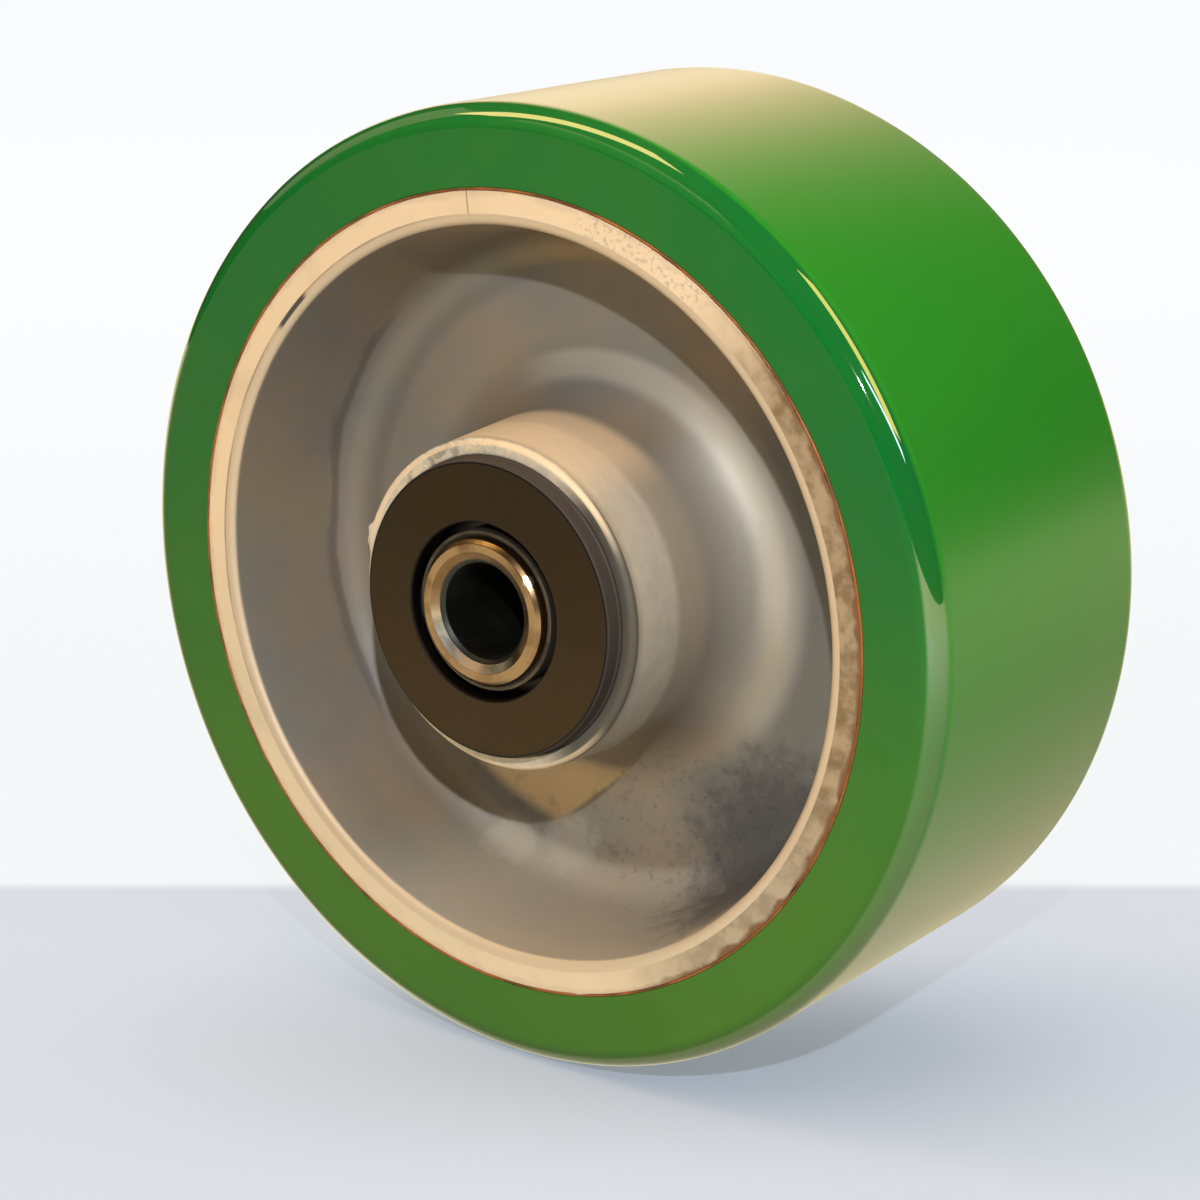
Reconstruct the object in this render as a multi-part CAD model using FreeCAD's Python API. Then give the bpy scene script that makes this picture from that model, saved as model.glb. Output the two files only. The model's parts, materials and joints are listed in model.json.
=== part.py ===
import FreeCAD, Part
import math
import os

# Polyurethane wheel, 200 x 80 mm: a cast aluminium hub with a moulded tread that runs
# on two sealed ball bearings round a steel axle sleeve.
# The wheel stands upright and turns about the Y axis. The origin is its centre, +Z is up
# and the front side faces -Y. Lengths are in millimetres and angles in degrees.

# Tread
tread_diameter = 200.0
tread_width = 80.0
tread_thickness = 17.0
tread_shoulder_radius = 5.0
bond_thickness = 0.4

# Hub casting
rim_face_width = 6.8
rim_edge_radius = 2.0
rim_wall_draft = 8.0
rim_root_radius = 8.0
web_thickness = 14.0
boss_end_wall = 3.2
boss_draft = 4.0
boss_edge_radius = 1.6
boss_root_radius = 14.0
seat_chamfer = 0.5
bearing_shoulder_height = 3.5

# Bearings
bearing_bore = 30.0
bearing_diameter = 62.0
bearing_width = 16.0
bearing_edge_radius = 0.9
ball_share_of_section = 0.29765625
land_share_of_section = 0.15625
ball_count = 9
track_clearance = 0.25

# Ball cages
cage_sheet = 0.8
cage_side_clearance = 1.1
pocket_clearance = 0.3
rivet_diameter = 1.4
rivet_head_diameter = 2.4
rivet_head_height = 0.45

# Bearing seals
seal_thickness = 1.0
seal_setback = 0.3
seal_bead = 1.2
seal_lip_clearance = 0.3
seal_lip_chamfer = 0.35

# Axle sleeve, spacer tube and end collars
sleeve_length = 100.0
sleeve_stand_out = 2.0
sleeve_bore = 20.0
sleeve_chamfer = 0.8
bore_chamfer = 0.6
countersink_width = 2.0
countersink_depth = 1.2
spacer_wall = 3.0
collar_wall = 1.5
collar_chamfer = 0.8

# Dust covers
cover_spigot_depth = 3.0
cover_stand_out = 3.5
cover_step = 0.4
cover_edge_radius = 0.4
cover_crown = 1.0
cover_gap = 1.8
cover_face_thickness = 2.6
cover_spigot_wall = 3.2

# Sizes that follow from the ones above
tread_radius = tread_diameter / 2
rim_radius = tread_radius - tread_thickness
bond_radius = rim_radius + bond_thickness
half_width = tread_width / 2
half_web = web_thickness / 2
cover_face = sleeve_length / 2 - sleeve_stand_out
half_boss = cover_face - cover_stand_out
seat_radius = bearing_diameter / 2
sleeve_radius = bearing_bore / 2
bearing_outer_face = half_boss - cover_spigot_depth
bearing_inner_face = bearing_outer_face - bearing_width
bearing_middle = bearing_outer_face - bearing_width / 2
bearing_section = bearing_diameter - bearing_bore
ball_radius = ball_share_of_section * bearing_section / 2
pitch_radius = (seat_radius + sleeve_radius) / 2
inner_land_radius = sleeve_radius + land_share_of_section * bearing_section
outer_land_radius = seat_radius - land_share_of_section * bearing_section
seal_seat_radius = outer_land_radius + seal_bead

ORIGIN = FreeCAD.Vector(0, 0, 0)
AXLE = FreeCAD.Vector(0, 1, 0)
FRONT = -1
REAR = 1
SIDES = {"front": FRONT, "rear": REAR}
FULL_TURN = 360.0
LONGEST_TANGENT = 0.49


def rounded_wire(outline):
    """Closed wire through (radius, place, rounding) corners, placed along the axle."""
    corners = [FreeCAD.Vector(radius, place, 0) for radius, place, rounding in outline]
    edges = []
    ends = []
    for i, corner in enumerate(corners):
        to_last = corners[i - 1] - corner
        to_next = corners[(i + 1) % len(corners)] - corner
        shorter = min(to_last.Length, to_next.Length)
        rounding = outline[i][2]
        if rounding == 0:
            ends.append((corner, corner))
            continue
        half_angle = to_last.getAngle(to_next) / 2
        tangent = min(rounding / math.tan(half_angle), LONGEST_TANGENT * shorter)
        radius = tangent * math.tan(half_angle)
        start = corner + to_last.normalize() * tangent
        end = corner + to_next.normalize() * tangent
        inward = (to_last + to_next).normalize()
        middle = corner + inward * (radius / math.sin(half_angle) - radius)
        edges.append(Part.Arc(start, middle, end).toShape())
        ends.append((start, end))
    for i, (start, end) in enumerate(ends):
        edges.append(Part.LineSegment(end, ends[(i + 1) % len(ends)][0]).toShape())
    return Part.Wire(Part.__sortEdges__(edges))


def turned(outline):
    """Solid of revolution about the axle from (radius, place, rounding) corners."""
    return Part.Face(rounded_wire(outline)).revolve(ORIGIN, AXLE, FULL_TURN)


def turned_on(side, outline):
    """Turned solid of one side, whose places are measured outward from the wheel's middle."""
    corners = [(radius, side * place, rounding) for radius, place, rounding in outline]
    return turned(corners[::side])


def tube(inner_radius, outer_radius, start, end):
    """Plain tube along the axle between two places."""
    low, high = sorted((start, end))
    return turned([
        (inner_radius, low, 0),
        (outer_radius, low, 0),
        (outer_radius, high, 0),
        (inner_radius, high, 0),
    ])


def round_the_axle(radius, place, count, turn=0.0):
    """Points evenly spaced on a circle round the axle, the first one straight up."""
    points = []
    for i in range(count):
        angle = math.radians(turn + i * FULL_TURN / count)
        points.append(FreeCAD.Vector(radius * math.sin(angle), place, radius * math.cos(angle)))
    return points


def tread():
    """Moulded polyurethane ring with rounded shoulders and plain flat sides."""
    return turned([
        (bond_radius, -half_width, 0),
        (tread_radius, -half_width, tread_shoulder_radius),
        (tread_radius, half_width, tread_shoulder_radius),
        (bond_radius, half_width, 0),
    ])


def bond_coat():
    """Layer of bonding agent between the rim and the tread, whose edge shows on both sides."""
    return tube(rim_radius, bond_radius, -half_width, half_width)


def casting_side(side):
    """Corners of the dished half of the casting on one side, from the rim to the bore."""
    rim_edge = rim_radius - rim_face_width
    rim_root = rim_edge - (half_width - half_web) * math.tan(math.radians(rim_wall_draft))
    boss_end = seat_radius + boss_end_wall
    boss_root = boss_end + (half_boss - half_web) * math.tan(math.radians(boss_draft))
    shoulder = seat_radius - bearing_shoulder_height
    corners = [
        (rim_radius, half_width, 0),
        (rim_edge, half_width, rim_edge_radius),
        (rim_root, half_web, rim_root_radius),
        (boss_root, half_web, boss_root_radius),
        (boss_end, half_boss, boss_edge_radius),
        (seat_radius + seat_chamfer, half_boss, 0),
        (seat_radius, half_boss - seat_chamfer, 0),
        (seat_radius, bearing_inner_face, 0),
        (shoulder, bearing_inner_face, 0),
    ]
    return [(radius, side * place, rounding) for radius, place, rounding in corners]


def hub_casting():
    """Rim, web and boss in one casting, dished alike on both sides, with two bearing seats."""
    return turned(casting_side(FRONT) + casting_side(REAR)[::-1])


def ball_track(middle):
    """Ring-shaped space that the balls run in, cut from both bearing rings."""
    return Part.makeTorus(pitch_radius, ball_radius + track_clearance,
                          FreeCAD.Vector(0, middle, 0), AXLE)


def outer_ring(middle):
    """Outer ring of a bearing, with a ball track and a seat for a seal on each side."""
    half = bearing_width / 2
    seal_floor = half - seal_setback - seal_thickness
    ring = turned([
        (outer_land_radius, middle - seal_floor, 0),
        (seal_seat_radius, middle - seal_floor, 0),
        (seal_seat_radius, middle - half, 0),
        (seat_radius, middle - half, bearing_edge_radius),
        (seat_radius, middle + half, bearing_edge_radius),
        (seal_seat_radius, middle + half, 0),
        (seal_seat_radius, middle + seal_floor, 0),
        (outer_land_radius, middle + seal_floor, 0),
    ])
    return ring.cut(ball_track(middle))


def inner_ring(middle):
    """Inner ring of a bearing, pressed on the axle sleeve."""
    half = bearing_width / 2
    ring = turned([
        (sleeve_radius, middle - half, bearing_edge_radius),
        (inner_land_radius, middle - half, 0),
        (inner_land_radius, middle + half, 0),
        (sleeve_radius, middle + half, bearing_edge_radius),
    ])
    return ring.cut(ball_track(middle))


def seal(middle, direction):
    """Washer-shaped rubber seal on one side of a bearing, held in the outer ring."""
    outer_face = bearing_width / 2 - seal_setback
    inner_face = outer_face - seal_thickness
    lip_radius = inner_land_radius + seal_lip_clearance
    corners = [
        (seal_seat_radius, inner_face),
        (seal_seat_radius, outer_face),
        (lip_radius + seal_lip_chamfer, outer_face),
        (lip_radius, outer_face - seal_lip_chamfer),
        (lip_radius, inner_face + seal_lip_chamfer),
        (lip_radius + seal_lip_chamfer, inner_face),
    ]
    outline = [(radius, middle + direction * place, 0) for radius, place in corners]
    return turned(outline[::direction])


def balls(middle):
    """The row of balls of one bearing."""
    centres = round_the_axle(pitch_radius, middle, ball_count)
    return [Part.makeSphere(ball_radius, centre) for centre in centres]


def rivet_points(middle):
    """Points midway between neighbouring balls, where the cage is riveted."""
    return round_the_axle(pitch_radius, middle, ball_count, FULL_TURN / ball_count / 2)


def pressed_cage_half():
    """Half of a ribbon cage at the wheel's middle: flat strips that bulge round the balls."""
    pocket_radius = ball_radius + pocket_clearance
    bulge_radius = pocket_radius + cage_sheet
    inner_edge = inner_land_radius + cage_side_clearance
    outer_edge = outer_land_radius - cage_side_clearance
    strip = tube(inner_edge, outer_edge, 0, cage_sheet)
    band = tube(inner_edge, outer_edge, 0, 2 * bulge_radius)
    centres = round_the_axle(pitch_radius, 0, ball_count)
    bulges = [Part.makeSphere(bulge_radius, centre).common(band) for centre in centres]
    pockets = [Part.makeSphere(pocket_radius, centre) for centre in centres]
    holes = [rivet_shank(point) for point in rivet_points(0)]
    return strip.multiFuse(bulges).cut(pockets).cut(holes).removeSplitter()


def cage_half(middle, direction):
    """Cage half of the bearing at one place, which bulges in the given direction."""
    half = pressed_cage_half()
    if direction < 0:
        half = half.mirror(ORIGIN, AXLE)
    return half.translated(AXLE * middle)


def rivet_shank(point):
    """Round shank through both strips of a cage."""
    return Part.makeCylinder(rivet_diameter / 2, 2 * cage_sheet, point - AXLE * cage_sheet, AXLE)


def rivet(point):
    """Rivet through both halves of a cage, with a flat head on each side."""
    heads = []
    for direction in (FRONT, REAR):
        foot = point + AXLE * (direction * cage_sheet)
        heads.append(Part.makeCylinder(rivet_head_diameter / 2, rivet_head_height, foot,
                                       AXLE * direction))
    return rivet_shank(point).multiFuse(heads).removeSplitter()


def axle_sleeve():
    """Steel tube that the axle bolt passes through, with countersunk and chamfered ends."""
    half = sleeve_length / 2
    bore_radius = sleeve_bore / 2
    entry_radius = bore_radius + bore_chamfer
    end = [
        (bore_radius, half - countersink_depth - bore_chamfer, 0),
        (entry_radius, half - countersink_depth, 0),
        (entry_radius + countersink_width, half, 0),
        (sleeve_radius - sleeve_chamfer, half, 0),
        (sleeve_radius, half - sleeve_chamfer, 0),
    ]
    return turned([(r, -place, s) for r, place, s in end] + end[::-1])


def spacer_tube():
    """Tube on the sleeve that holds the two inner rings apart."""
    return tube(sleeve_radius, sleeve_radius + spacer_wall, -bearing_inner_face, bearing_inner_face)


def end_collar(side):
    """Thin collar on the sleeve, from the inner ring out to the level of the cover's face."""
    return turned_on(side, [
        (sleeve_radius, bearing_outer_face, 0),
        (sleeve_radius + collar_wall, bearing_outer_face, 0),
        (sleeve_radius + collar_wall, cover_face, 0),
        (sleeve_radius + collar_chamfer, cover_face, 0),
        (sleeve_radius, cover_face - collar_chamfer, 0),
    ])


def dust_cover(side):
    """Round cover pressed into the end of the boss, crowned, and hollow behind its face."""
    hole_radius = sleeve_radius + collar_wall + cover_gap
    spigot_inner = seat_radius - cover_spigot_wall
    rim = seat_radius - cover_step
    back_of_face = cover_face - cover_face_thickness
    return turned_on(side, [
        (hole_radius, back_of_face + cover_crown, 0),
        (hole_radius, cover_face + cover_crown, cover_edge_radius),
        (rim, cover_face, cover_edge_radius),
        (rim, half_boss, 0),
        (seat_radius, half_boss, 0),
        (seat_radius, bearing_outer_face, 0),
        (spigot_inner, bearing_outer_face, 0),
        (spigot_inner, back_of_face, 0),
    ])


def bearing(name, side):
    """Pieces of one bearing, by node name."""
    middle = side * bearing_middle
    pieces = {
        f"{name}_outer_ring": outer_ring(middle),
        f"{name}_inner_ring": inner_ring(middle),
        f"{name}_outer_seal": seal(middle, side),
        f"{name}_inner_seal": seal(middle, -side),
        f"{name}_cage_outer_half": cage_half(middle, side),
        f"{name}_cage_inner_half": cage_half(middle, -side),
        f"{name}_cage_rivets": Part.makeCompound([rivet(p) for p in rivet_points(middle)]),
    }
    for number, ball in enumerate(balls(middle), start=1):
        pieces[f"{name}_ball_{number}"] = ball
    return pieces


def wheel():
    """Every piece of the wheel, by node name."""
    pieces = {
        "tread": tread(),
        "bond_coat": bond_coat(),
        "hub_casting": hub_casting(),
        "axle_sleeve": axle_sleeve(),
        "spacer_tube": spacer_tube(),
    }
    for name, side in SIDES.items():
        pieces.update(bearing(name, side))
        pieces[f"{name}_end_collar"] = end_collar(side)
        pieces[f"{name}_dust_cover"] = dust_cover(side)
    return pieces


os.makedirs("parts", exist_ok=True)
for node, shape in wheel().items():
    shape.exportStep(f"parts/{node}.step")
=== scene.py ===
# Polyurethane castor wheel, 200 x 80 mm, dressed for a studio picture.
# The wheel turns about the Y axis, its front side faces -Y and its lowest line is the floor.
# Sizes of pieces are in millimetres and are scaled to metres where a mesh is made.
# A place is measured along the axle, a depth is its size, and a turn is in degrees clockwise
# from straight up, seen from the front. A span is (middle, half width, softness) for a sector
# and (low, high, softness) for a range of radius, place or depth.

import json
import logging
import math
from dataclasses import dataclass, field, replace
from enum import Enum
from functools import partial, reduce

import bmesh
import bpy
import numpy as np
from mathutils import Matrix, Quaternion, Vector

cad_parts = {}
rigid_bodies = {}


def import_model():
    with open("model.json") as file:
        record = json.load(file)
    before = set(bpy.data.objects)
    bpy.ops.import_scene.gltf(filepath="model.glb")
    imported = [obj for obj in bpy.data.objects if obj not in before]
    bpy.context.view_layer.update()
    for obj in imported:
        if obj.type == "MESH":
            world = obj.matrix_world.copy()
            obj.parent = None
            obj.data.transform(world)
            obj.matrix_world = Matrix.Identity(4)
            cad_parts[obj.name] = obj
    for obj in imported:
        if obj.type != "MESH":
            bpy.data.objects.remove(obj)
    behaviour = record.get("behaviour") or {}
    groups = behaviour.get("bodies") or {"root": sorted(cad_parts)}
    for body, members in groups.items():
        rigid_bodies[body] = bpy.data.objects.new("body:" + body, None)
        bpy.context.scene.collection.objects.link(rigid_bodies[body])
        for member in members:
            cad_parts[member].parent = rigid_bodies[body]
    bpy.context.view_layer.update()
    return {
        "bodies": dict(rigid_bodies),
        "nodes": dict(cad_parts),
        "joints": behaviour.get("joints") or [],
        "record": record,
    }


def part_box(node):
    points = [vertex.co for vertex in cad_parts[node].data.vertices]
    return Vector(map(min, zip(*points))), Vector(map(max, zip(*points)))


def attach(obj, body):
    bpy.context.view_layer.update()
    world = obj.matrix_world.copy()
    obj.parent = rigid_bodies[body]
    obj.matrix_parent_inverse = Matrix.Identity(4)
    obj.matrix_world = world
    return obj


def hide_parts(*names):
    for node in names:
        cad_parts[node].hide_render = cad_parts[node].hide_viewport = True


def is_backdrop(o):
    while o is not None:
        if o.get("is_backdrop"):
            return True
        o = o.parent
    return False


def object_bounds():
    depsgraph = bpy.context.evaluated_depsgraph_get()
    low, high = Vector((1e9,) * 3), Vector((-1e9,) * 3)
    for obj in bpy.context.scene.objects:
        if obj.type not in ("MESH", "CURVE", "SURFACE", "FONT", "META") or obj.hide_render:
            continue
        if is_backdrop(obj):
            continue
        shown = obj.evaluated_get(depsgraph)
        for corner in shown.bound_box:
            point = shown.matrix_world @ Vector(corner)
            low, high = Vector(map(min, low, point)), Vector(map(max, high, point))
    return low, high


MM = 0.001
RIM_HALF = 40.0
BOSS_HALF = 44.5
BOSS_RADIUS = 34.2
VIEW_AZIMUTH = 36.48
LOG = logging.getLogger("castor_wheel")
Socket = bpy.types.NodeSocket
Colour = tuple[float, float, float]
Span = tuple[float, float, float]
Point = tuple[float, float, float]
Unevenness = tuple[float, float, float]
ORIGIN: Point = (0.0, 0.0, 0.0)
BLACK: Colour = (0.0, 0.0, 0.0)


class Side(Enum):
    """Side of the wheel, with the sign of its place along the axle."""

    FRONT = -1
    REAR = 1


class Skin(Enum):
    """How a turned surface was made."""

    MACHINED = 0.0
    CAST = 1.0


def opaque(colour: object) -> object:
    """Colour with full alpha; a colour's socket stays as it is."""
    return (*colour, 1.0) if isinstance(colour, tuple) else colour


def wheel_point(radius: float, turn: float, place: float) -> Vector:
    """Point in metres, from a radius and a place in millimetres and a turn in degrees."""
    angle = math.radians(turn)
    return Vector((radius * math.sin(angle), place, radius * math.cos(angle))) * MM


class NodeSheet:
    """Adds nodes to one tree and joins them."""

    def __init__(self, tree: bpy.types.NodeTree) -> None:
        """Keeps the tree that receives the nodes."""
        self.tree = tree

    def add(self, kind: str, values: dict | None = None, **settings: object) -> bpy.types.Node:
        """Adds one node.

        Args:
            kind: Type name of the node.
            values: Input name or number, with a socket to join or a constant to set.
            settings: Properties of the node itself.

        Returns:
            The new node.
        """
        node = self.tree.nodes.new(kind)
        for name, setting in settings.items():
            setattr(node, name, setting)
        for key, value in (values or {}).items():
            self.feed(node.inputs[key], value)
        return node

    def feed(self, socket: Socket, value: object) -> None:
        """Joins a socket to an input, or sets the input's constant.

        Args:
            socket: Input to feed.
            value: Output socket or constant.
        """
        if isinstance(value, bpy.types.NodeSocket):
            self.tree.links.new(value, socket)
        else:
            socket.default_value = value

    def math(self, operation: str, *values: object) -> Socket:
        """Result of a math operation on its operands."""
        return self.add("ShaderNodeMath", dict(enumerate(values)), operation=operation).outputs[0]

    def times(self, *values: object) -> object:
        """Product of masks and shares."""
        return reduce(partial(self.math, "MULTIPLY"), values)

    def scaled(self, value: Socket, factor: object, offset: object) -> Socket:
        """Value times a factor, plus an offset."""
        return self.math("MULTIPLY_ADD", value, factor, offset)

    def ramp(self, value: Socket, low: object, high: object, start: float = 0.0,
             end: float = 1.0) -> Socket:
        """Smooth step from start to end as a value goes from low to high."""
        values = {"Value": value, "From Min": low, "From Max": high, "To Min": start, "To Max": end}
        return self.add("ShaderNodeMapRange", values, interpolation_type="SMOOTHSTEP").outputs[0]

    def blend(self, mask: object, under: object, over: object) -> Socket:
        """Colour that changes from the one under to the one over by a mask."""
        values = {0: mask, 6: opaque(under), 7: opaque(over)}
        return self.add("ShaderNodeMix", values, data_type="RGBA").outputs[2]

    def paint(self, under: object, *layers: tuple) -> Socket:
        """Lays colours over a first one, in order.

        Args:
            under: First colour or its socket.
            layers: Colour of each layer, then the masks and shares whose product lays it on.

        Returns:
            The colour's socket.
        """
        for over, *shares in layers:
            under = self.blend(self.times(*shares), under, over)
        return under

    def noise(self, where: Socket, scale: float, detail: float = 4.0,
              roughness: float = 0.5) -> Socket:
        """Noise over a position, with its waves for each metre, about 0.5 on average."""
        values = {"Vector": where, "Scale": scale, "Detail": detail, "Roughness": roughness}
        return self.add("ShaderNodeTexNoise", values).outputs[0]


class SharedEffects:
    """Shader groups that several finishes use, each built once."""

    def __init__(self) -> None:
        """Builds every group."""
        self.wheel_place = self.build_wheel_place()
        self.mottle = self.build_mottle()
        self.spot = self.build_spot()
        self.turning = self.build_turning()

    @staticmethod
    def start(name: str, inputs: dict[str, object],
              outputs: dict[str, object]) -> tuple[NodeSheet, dict, dict]:
        """Starts a shader group, whose ports are vectors or numbers as their defaults are.

        Args:
            name: Name of the group.
            inputs: Its inputs with their defaults.
            outputs: Its outputs with their defaults.

        Returns:
            The group's sheet, the sockets that bring its inputs and those that take its outputs.
        """
        tree = bpy.data.node_groups.new(name, "ShaderNodeTree")
        for way, ports in (("INPUT", inputs), ("OUTPUT", outputs)):
            for port, value in ports.items():
                kind = "NodeSocketVector" if isinstance(value, tuple) else "NodeSocketFloat"
                made = tree.interface.new_socket(port, in_out=way, socket_type=kind)
                made.default_value = value
        sheet = NodeSheet(tree)
        return sheet, sheet.add("NodeGroupInput").outputs, sheet.add("NodeGroupOutput").inputs

    def build_wheel_place(self) -> bpy.types.NodeTree:
        """Group that gives position, radius, place, depth and turn of a point.

        Returns:
            The group's tree.
        """
        sheet, _, out = self.start("wheel_place", {}, {
            "Position": ORIGIN, "Radius": 0.0, "Place": 0.0, "Depth": 0.0, "Turn": 0.0})
        position = sheet.add("ShaderNodeTexCoord").outputs["Object"]
        across, along, upward = sheet.add("ShaderNodeSeparateXYZ", {0: position}).outputs
        square = sheet.math("ADD", sheet.times(across, across), sheet.times(upward, upward))
        found = {"Position": position, "Radius": sheet.math("SQRT", square), "Place": along,
                 "Depth": sheet.math("ABSOLUTE", along),
                 "Turn": sheet.math("ARCTAN2", across, upward)}
        for port, value in found.items():
            sheet.feed(out[port], value)
        return sheet.tree

    def build_mottle(self) -> bpy.types.NodeTree:
        """Group for soft cloudy variation.

        Returns:
            The group's tree.
        """
        sheet, given, out = self.start("mottle", {
            "Position": ORIGIN, "Waves": 20.0, "Low": 0.4, "High": 0.6, "Seed": 0.0},
            {"Mask": 0.0})
        noise = sheet.add("ShaderNodeTexNoise", {
            "Vector": given["Position"], "W": given["Seed"], "Scale": given["Waves"],
            "Detail": 5.0, "Roughness": 0.55}, noise_dimensions="4D").outputs[0]
        sheet.feed(out["Mask"], sheet.ramp(noise, given["Low"], given["High"]))
        return sheet.tree

    def build_spot(self) -> bpy.types.NodeTree:
        """Group for one soft patch with a ragged edge round a point.

        Returns:
            The group's tree.
        """
        sheet, given, out = self.start("spot", {
            "Position": ORIGIN, "Centre": ORIGIN, "Reach": 0.01, "Ragged": 0.3}, {"Mask": 0.0})
        away = sheet.add("ShaderNodeVectorMath", {
            0: given["Position"], 1: given["Centre"]}, operation="DISTANCE").outputs["Value"]
        grain = sheet.noise(given["Position"], 260.0, 5.0, 0.6)
        uneven = sheet.scaled(sheet.math("SUBTRACT", grain, 0.5), given["Ragged"],
                              sheet.math("DIVIDE", away, given["Reach"]))
        sheet.feed(out["Mask"], sheet.ramp(uneven, 1.0, 0.45))
        return sheet.tree

    def build_turning(self) -> bpy.types.NodeTree:
        """Group for the fine concentric lines that a lathe tool leaves.

        Returns:
            The group's tree.
        """
        sheet, given, out = self.start("turning_marks", {"Along": 0.0, "Lines": 2500.0},
                                       {"Height": 0.0})
        noise = sheet.add("ShaderNodeTexNoise", {
            "W": given["Along"], "Scale": given["Lines"], "Detail": 2.0}, noise_dimensions="1D")
        sheet.feed(out["Height"], noise.outputs[0])
        return sheet.tree


class FinishSheet(NodeSheet):
    """Node sheet of one material, with the wheel's shared effects at hand."""

    def __init__(self, name: str, effects: SharedEffects) -> None:
        """Makes the material and its surface shader.

        Args:
            name: Name of the material.
            effects: Shared shader groups.
        """
        self.material = bpy.data.materials.new(name)
        self.material.use_nodes = True
        super().__init__(self.material.node_tree)
        self.effects = effects
        self.shader = self.tree.nodes["Principled BSDF"]
        self.place = self.group(effects.wheel_place)
        self.position = self.place["Position"]

    def group(self, tree: bpy.types.NodeTree, **values: object) -> dict:
        """Outputs of a shared group, whose inputs are fed by name."""
        return self.add("ShaderNodeGroup", values, node_tree=tree).outputs

    def mottle(self, waves: float, low: float, high: float, seed: float = 0.0) -> Socket:
        """Cloudy mask over the piece, with its waves for each metre."""
        return self.group(self.effects.mottle, Position=self.position, Waves=waves, Low=low,
                          High=high, Seed=seed)[0]

    def spot(self, centre: Vector, reach: float, ragged: float) -> Socket:
        """Mask of one soft patch, whose reach is in millimetres."""
        return self.group(self.effects.spot, Position=self.position, Centre=tuple(centre),
                          Reach=reach * MM, Ragged=ragged)[0]

    def lathe_marks(self, along: Socket, lines: float = 2500.0) -> Socket:
        """Height of the lines that a lathe tool leaves along a distance."""
        return self.group(self.effects.turning, Along=along, Lines=lines)[0]

    def grain(self, *settings: float) -> Socket:
        """Noise over the piece, by its scale, detail and roughness."""
        return self.noise(self.position, *settings)

    def measure(self, way: Point) -> Socket:
        """Distance in metres from the wheel's centre along a direction."""
        return self.add("ShaderNodeVectorMath", {0: self.position, 1: way},
                        operation="DOT_PRODUCT").outputs["Value"]

    def lowness(self, top: float, bottom: float) -> Socket:
        """Mask that rises from a height in millimetres down to a lower one."""
        return self.ramp(self.measure((0.0, 0.0, 1.0)), top * MM, bottom * MM)

    def step(self, key: str, low: float, high: float) -> Socket:
        """Mask that rises between two values of a radius, place or depth in millimetres."""
        return self.ramp(self.place[key], low * MM, high * MM)

    def band(self, value: Socket, low: float, high: float, soft: float) -> Socket:
        """Mask of a range of a value, in millimetres, with soft ends."""
        rise = self.ramp(value, (low - soft) * MM, low * MM)
        return self.times(rise, self.ramp(value, high * MM, (high + soft) * MM, 1.0, 0.0))

    def ring(self, low: float, high: float, soft: float) -> Socket:
        """Mask of a ring between two radii, with soft edges."""
        return self.band(self.place["Radius"], low, high, soft)

    def depths(self, low: float, high: float, soft: float) -> Socket:
        """Mask of a range of depth, with soft ends."""
        return self.band(self.place["Depth"], low, high, soft)

    def sector(self, middle: float, half: float, soft: float) -> Socket:
        """Mask of a sector round the axle, with soft ends."""
        near = self.math("COSINE", self.math("SUBTRACT", self.place["Turn"], math.radians(middle)))
        return self.ramp(near, math.cos(math.radians(half + soft)), math.cos(math.radians(half)))

    def zone(self, sector: Span, ring: Span) -> Socket:
        """Mask of a part of a ring."""
        return self.times(self.sector(*sector), self.ring(*ring))

    def scratch(self, turn: float, width: float) -> Socket:
        """Mask of a thin radial line.

        Args:
            turn: Degrees clockwise from straight up, seen from the front.
            width: Width of the line in millimetres.

        Returns:
            The mask's socket.
        """
        angle = math.radians(turn)
        aside = self.math("ABSOLUTE", self.measure((math.cos(angle), 0.0, -math.sin(angle))))
        along = self.measure((math.sin(angle), 0.0, math.cos(angle)))
        near = self.ramp(aside, width * MM, 0.3 * width * MM)
        return self.times(near, self.math("GREATER_THAN", along, 0.0))

    def bump(self, height: Socket, distance: float, under: Socket | None = None) -> Socket:
        """Normal bent by a height.

        Args:
            height: Height from 0 to 1.
            distance: Size of the full step in millimetres.
            under: Normal to start from.

        Returns:
            The normal's socket.
        """
        values = {"Height": height, "Distance": distance * MM}
        if under is not None:
            values["Normal"] = under
        return self.add("ShaderNodeBump", values).outputs[0]

    def surface(self, **inputs: object) -> bpy.types.Material:
        """Feeds the surface shader, with underscores for the spaces in input names.

        Args:
            inputs: Sockets or constants by input name.

        Returns:
            The material.
        """
        for name, value in inputs.items():
            self.feed(self.shader.inputs[name.replace("_", " ")], value)
        return self.material


@dataclass(frozen=True)
class Finish:
    """Finish of one material slot."""

    name: str

    def build(self, effects: SharedEffects) -> bpy.types.Material:
        """Makes the material from the finish's own inputs of the surface shader."""
        sheet = FinishSheet(self.name, effects)
        return sheet.surface(**self.inputs(sheet))

    def inputs(self, sheet: FinishSheet) -> dict[str, object]:
        """Inputs of the surface shader, by name, for the sheet of the material."""
        raise NotImplementedError


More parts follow.
